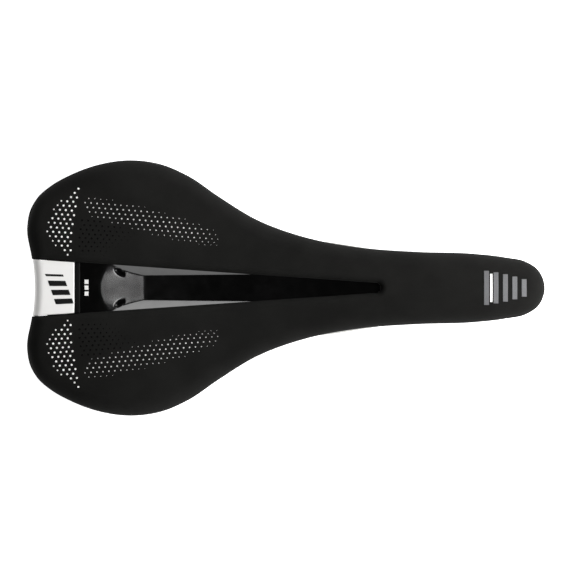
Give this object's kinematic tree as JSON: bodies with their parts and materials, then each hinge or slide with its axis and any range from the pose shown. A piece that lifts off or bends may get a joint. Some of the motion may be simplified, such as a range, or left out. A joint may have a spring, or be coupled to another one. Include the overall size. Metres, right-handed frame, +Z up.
{
  "type": "bicycle saddle",
  "caption": "Black microfibre road saddle with a sunken gloss relief channel, a white tail badge and two round rails.",
  "frame": {"origin": "midway between the two rails' centre lines, at the middle of their straight clamping length", "axes": "+X to the nose along the straight rails, +Y to the rider's left, +Z up"},
  "size_m": [0.2729, 0.135, 0.0607],
  "materials": {
    "microfibre": "matt black microfibre",
    "foam": "open-cell polyurethane foam",
    "shell_plastic": "glass-filled nylon, fine grain",
    "gloss_black": "high-gloss black",
    "satin_black": "satin black",
    "gloss_white": "high-gloss white",
    "grey_print": "matt grey transfer",
    "zinc_steel": "zinc plated",
    "rail_metal": "satin",
    "socket_plastic": "glass-filled nylon",
    "bush_rubber": "matt elastomer"
  },
  "bodies": {
    "root": {"cover": "microfibre", "padding": "foam", "base_shell": "shell_plastic", "relief_channel": "gloss_black", "relief_channel_screws": "zinc_steel", "trim_bar": "satin_black", "tail_badge": "gloss_white", "tail_badge_screws": "zinc_steel", "tail_bridge": "shell_plastic", "tail_bridge_screws": "zinc_steel", "nose_emblem": "grey_print", "cover_staples": "zinc_steel", "left_rail": "rail_metal", "right_rail": "rail_metal", "left_rear_socket": "socket_plastic", "right_rear_socket": "socket_plastic", "left_rear_bush": "bush_rubber", "right_rear_bush": "bush_rubber", "rear_socket_screws": "zinc_steel", "rear_socket_nuts": "zinc_steel", "nose_socket": "socket_plastic", "left_nose_bush": "bush_rubber", "right_nose_bush": "bush_rubber", "nose_socket_screws": "zinc_steel", "nose_socket_nuts": "zinc_steel"}
  },
  "joints": []
}
